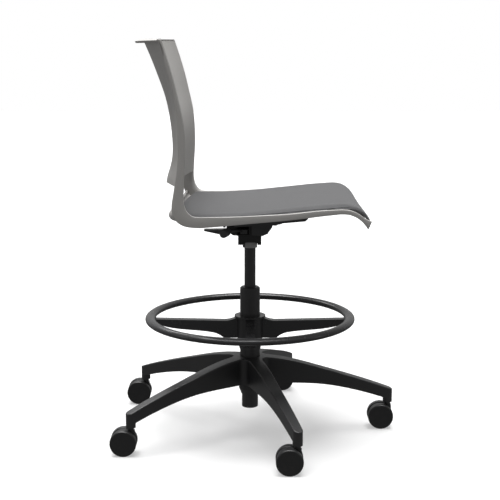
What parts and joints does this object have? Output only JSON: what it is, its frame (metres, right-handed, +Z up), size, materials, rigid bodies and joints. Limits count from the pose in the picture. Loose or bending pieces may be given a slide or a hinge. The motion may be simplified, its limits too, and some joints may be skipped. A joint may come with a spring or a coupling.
{
  "type": "drafting chair",
  "caption": "Armless drafting chair with a moulded seat and back, upholstered pad, gas lift, adjustable foot ring and five-star caster base.",
  "frame": {"origin": "on the floor, on the axis of the gas-lift column", "axes": "+Z up along the column, -Y the way the sitter faces, +X to the sitter's left"},
  "size_m": [0.7124, 0.6966, 0.9761],
  "materials": {
    "black_nylon": "fine moulded texture",
    "ring_nylon": "fine moulded texture, slightly worn along the ring",
    "knob_plastic": "smooth satin",
    "caster_plastic": "satin",
    "caster_tread": "satin with a matte rolling surface",
    "black_paint": "satin powder coat",
    "cast_black": "painted casting",
    "bearing_steel": "ground",
    "zinc_steel": "zinc plated",
    "chromed_rod": "polished",
    "black_rubber": "matte",
    "light_collar": "fine",
    "grey_frame": "fine moulded texture",
    "grey_shell": "fine moulded texture",
    "back_front": "fine moulded texture",
    "board_plastic": "moulded",
    "pad_fabric": "fine two-tone weave"
  },
  "bodies": {
    "base": {"five_star_base": "black_nylon", "column_outer_tube": "black_paint", "column_guide_sleeve": "black_nylon", "column_base_disc": "zinc_steel", "thrust_bearing": "bearing_steel"},
    "lift_rod": {"piston_rod": "chromed_rod", "rod_clip": "zinc_steel", "rod_buffer": "black_rubber"},
    "seat_lift": {"gas_cylinder": "black_paint", "taper_sleeve": "black_nylon", "sleeve_band": "light_collar", "mechanism_housing": "cast_black", "torsion_bush": "black_rubber", "tilt_pivot_pin": "black_paint"},
    "valve": {"gas_valve_pin": "bearing_steel"},
    "height_lever": {"height_lever_arm": "black_paint", "height_lever_grip": "knob_plastic"},
    "tilt_lock": {"tilt_lock_shaft": "black_paint", "tilt_lock_paddle": "knob_plastic"},
    "seat": {"seat_plate": "black_paint", "side_frame_left": "grey_frame", "side_frame_right": "grey_frame", "seat_shell": "grey_shell", "cushion_board": "board_plastic", "seat_pad": "pad_fabric", "back_panel": "back_front", "back_shell": "grey_shell", "top_lip": "grey_shell", "plate_bolts": "zinc_steel", "side_screws": "zinc_steel"},
    "footring": {"footring": "ring_nylon", "ring_bush": "black_nylon"},
    "ring_lock": {"ring_lock_collar": "knob_plastic"},
    "caster_1": {"caster_hood_1": "caster_plastic", "caster_stem_1": "black_paint", "caster_axle_1": "bearing_steel"},
    "wheel_left_1": {"caster_wheel_left_1": "caster_tread"},
    "wheel_right_1": {"caster_wheel_right_1": "caster_tread"},
    "caster_2": {"caster_hood_2": "caster_plastic", "caster_stem_2": "black_paint", "caster_axle_2": "bearing_steel"},
    "wheel_left_2": {"caster_wheel_left_2": "caster_tread"},
    "wheel_right_2": {"caster_wheel_right_2": "caster_tread"},
    "caster_3": {"caster_hood_3": "caster_plastic", "caster_stem_3": "black_paint", "caster_axle_3": "bearing_steel"},
    "wheel_left_3": {"caster_wheel_left_3": "caster_tread"},
    "wheel_right_3": {"caster_wheel_right_3": "caster_tread"},
    "caster_4": {"caster_hood_4": "caster_plastic", "caster_stem_4": "black_paint", "caster_axle_4": "bearing_steel"},
    "wheel_left_4": {"caster_wheel_left_4": "caster_tread"},
    "wheel_right_4": {"caster_wheel_right_4": "caster_tread"},
    "caster_5": {"caster_hood_5": "caster_plastic", "caster_stem_5": "black_paint", "caster_axle_5": "bearing_steel"},
    "wheel_left_5": {"caster_wheel_left_5": "caster_tread"},
    "wheel_right_5": {"caster_wheel_right_5": "caster_tread"}
  },
  "joints": [
    {"name": "seat_swivel", "type": "hinge", "parent": "base", "child": "lift_rod", "pos_m": [0, 0, 0.06], "axis": [0, 0, 1], "continuous": true},
    {"name": "seat_height", "type": "slide", "parent": "lift_rod", "child": "seat_lift", "axis": [0, 0, 1], "range_m": [0, 0.2]},
    {"name": "valve_press", "type": "slide", "parent": "seat_lift", "child": "valve", "axis": [0, 0, -1], "range_m": [0, 0.0025]},
    {"name": "height_lever", "type": "hinge", "parent": "seat_lift", "child": "height_lever", "pos_m": [-0.03, 0.012, 0.505], "axis": [0, 1, 0], "range_deg": [0, 4], "stiffness_Nm_per_rad": 8, "springref_deg": -2.86},
    {"name": "tilt_lock", "type": "hinge", "parent": "seat_lift", "child": "tilt_lock", "pos_m": [0.05, 0.025, 0.5055], "axis": [-1, 0, 0], "range_deg": [0, 20]},
    {"name": "seat_tilt", "type": "hinge", "parent": "seat_lift", "child": "seat", "pos_m": [0, -0.038, 0.516], "axis": [-1, 0, 0], "range_deg": [0, 8.5], "stiffness_Nm_per_rad": 110, "springref_deg": -11.46},
    {"name": "footring_height", "type": "slide", "parent": "base", "child": "footring", "axis": [0, 0, 1], "range_m": [-0.015, 0.07]},
    {"name": "ring_lock_twist", "type": "hinge", "parent": "footring", "child": "ring_lock", "pos_m": [0, 0, 0.22], "axis": [0, 0, 1], "range_deg": [0, 90]},
    {"name": "caster_swivel_1", "type": "hinge", "parent": "base", "child": "caster_1", "pos_m": [0, -0.35, 0.07], "axis": [0, 0, 1], "continuous": true},
    {"name": "wheel_left_roll_1", "type": "hinge", "parent": "caster_1", "child": "wheel_left_1", "pos_m": [0, -0.332, 0.03175], "axis": [1, 0, 0], "continuous": true},
    {"name": "wheel_right_roll_1", "type": "hinge", "parent": "caster_1", "child": "wheel_right_1", "pos_m": [0, -0.332, 0.03175], "axis": [1, 0, 0], "continuous": true},
    {"name": "caster_swivel_2", "type": "hinge", "parent": "base", "child": "caster_2", "pos_m": [0.33287, -0.10816, 0.07], "axis": [0, 0, 1], "continuous": true},
    {"name": "wheel_left_roll_2", "type": "hinge", "parent": "caster_2", "child": "wheel_left_2", "pos_m": [0.33287, -0.09016, 0.03175], "axis": [1, 0, 0], "continuous": true},
    {"name": "wheel_right_roll_2", "type": "hinge", "parent": "caster_2", "child": "wheel_right_2", "pos_m": [0.33287, -0.09016, 0.03175], "axis": [1, 0, 0], "continuous": true},
    {"name": "caster_swivel_3", "type": "hinge", "parent": "base", "child": "caster_3", "pos_m": [0.20572, 0.28316, 0.07], "axis": [0, 0, 1], "continuous": true},
    {"name": "wheel_left_roll_3", "type": "hinge", "parent": "caster_3", "child": "wheel_left_3", "pos_m": [0.20572, 0.30116, 0.03175], "axis": [1, 0, 0], "continuous": true},
    {"name": "wheel_right_roll_3", "type": "hinge", "parent": "caster_3", "child": "wheel_right_3", "pos_m": [0.20572, 0.30116, 0.03175], "axis": [1, 0, 0], "continuous": true},
    {"name": "caster_swivel_4", "type": "hinge", "parent": "base", "child": "caster_4", "pos_m": [-0.20572, 0.28316, 0.07], "axis": [0, 0, 1], "continuous": true},
    {"name": "wheel_left_roll_4", "type": "hinge", "parent": "caster_4", "child": "wheel_left_4", "pos_m": [-0.20572, 0.30116, 0.03175], "axis": [1, 0, 0], "continuous": true},
    {"name": "wheel_right_roll_4", "type": "hinge", "parent": "caster_4", "child": "wheel_right_4", "pos_m": [-0.20572, 0.30116, 0.03175], "axis": [1, 0, 0], "continuous": true},
    {"name": "caster_swivel_5", "type": "hinge", "parent": "base", "child": "caster_5", "pos_m": [-0.33287, -0.10816, 0.07], "axis": [0, 0, 1], "continuous": true},
    {"name": "wheel_left_roll_5", "type": "hinge", "parent": "caster_5", "child": "wheel_left_5", "pos_m": [-0.33287, -0.09016, 0.03175], "axis": [1, 0, 0], "continuous": true},
    {"name": "wheel_right_roll_5", "type": "hinge", "parent": "caster_5", "child": "wheel_right_5", "pos_m": [-0.33287, -0.09016, 0.03175], "axis": [1, 0, 0], "continuous": true}
  ],
  "couplings": [
    {"joint": "valve_press", "follows": "height_lever", "m_per_rad": 0.03}
  ]
}
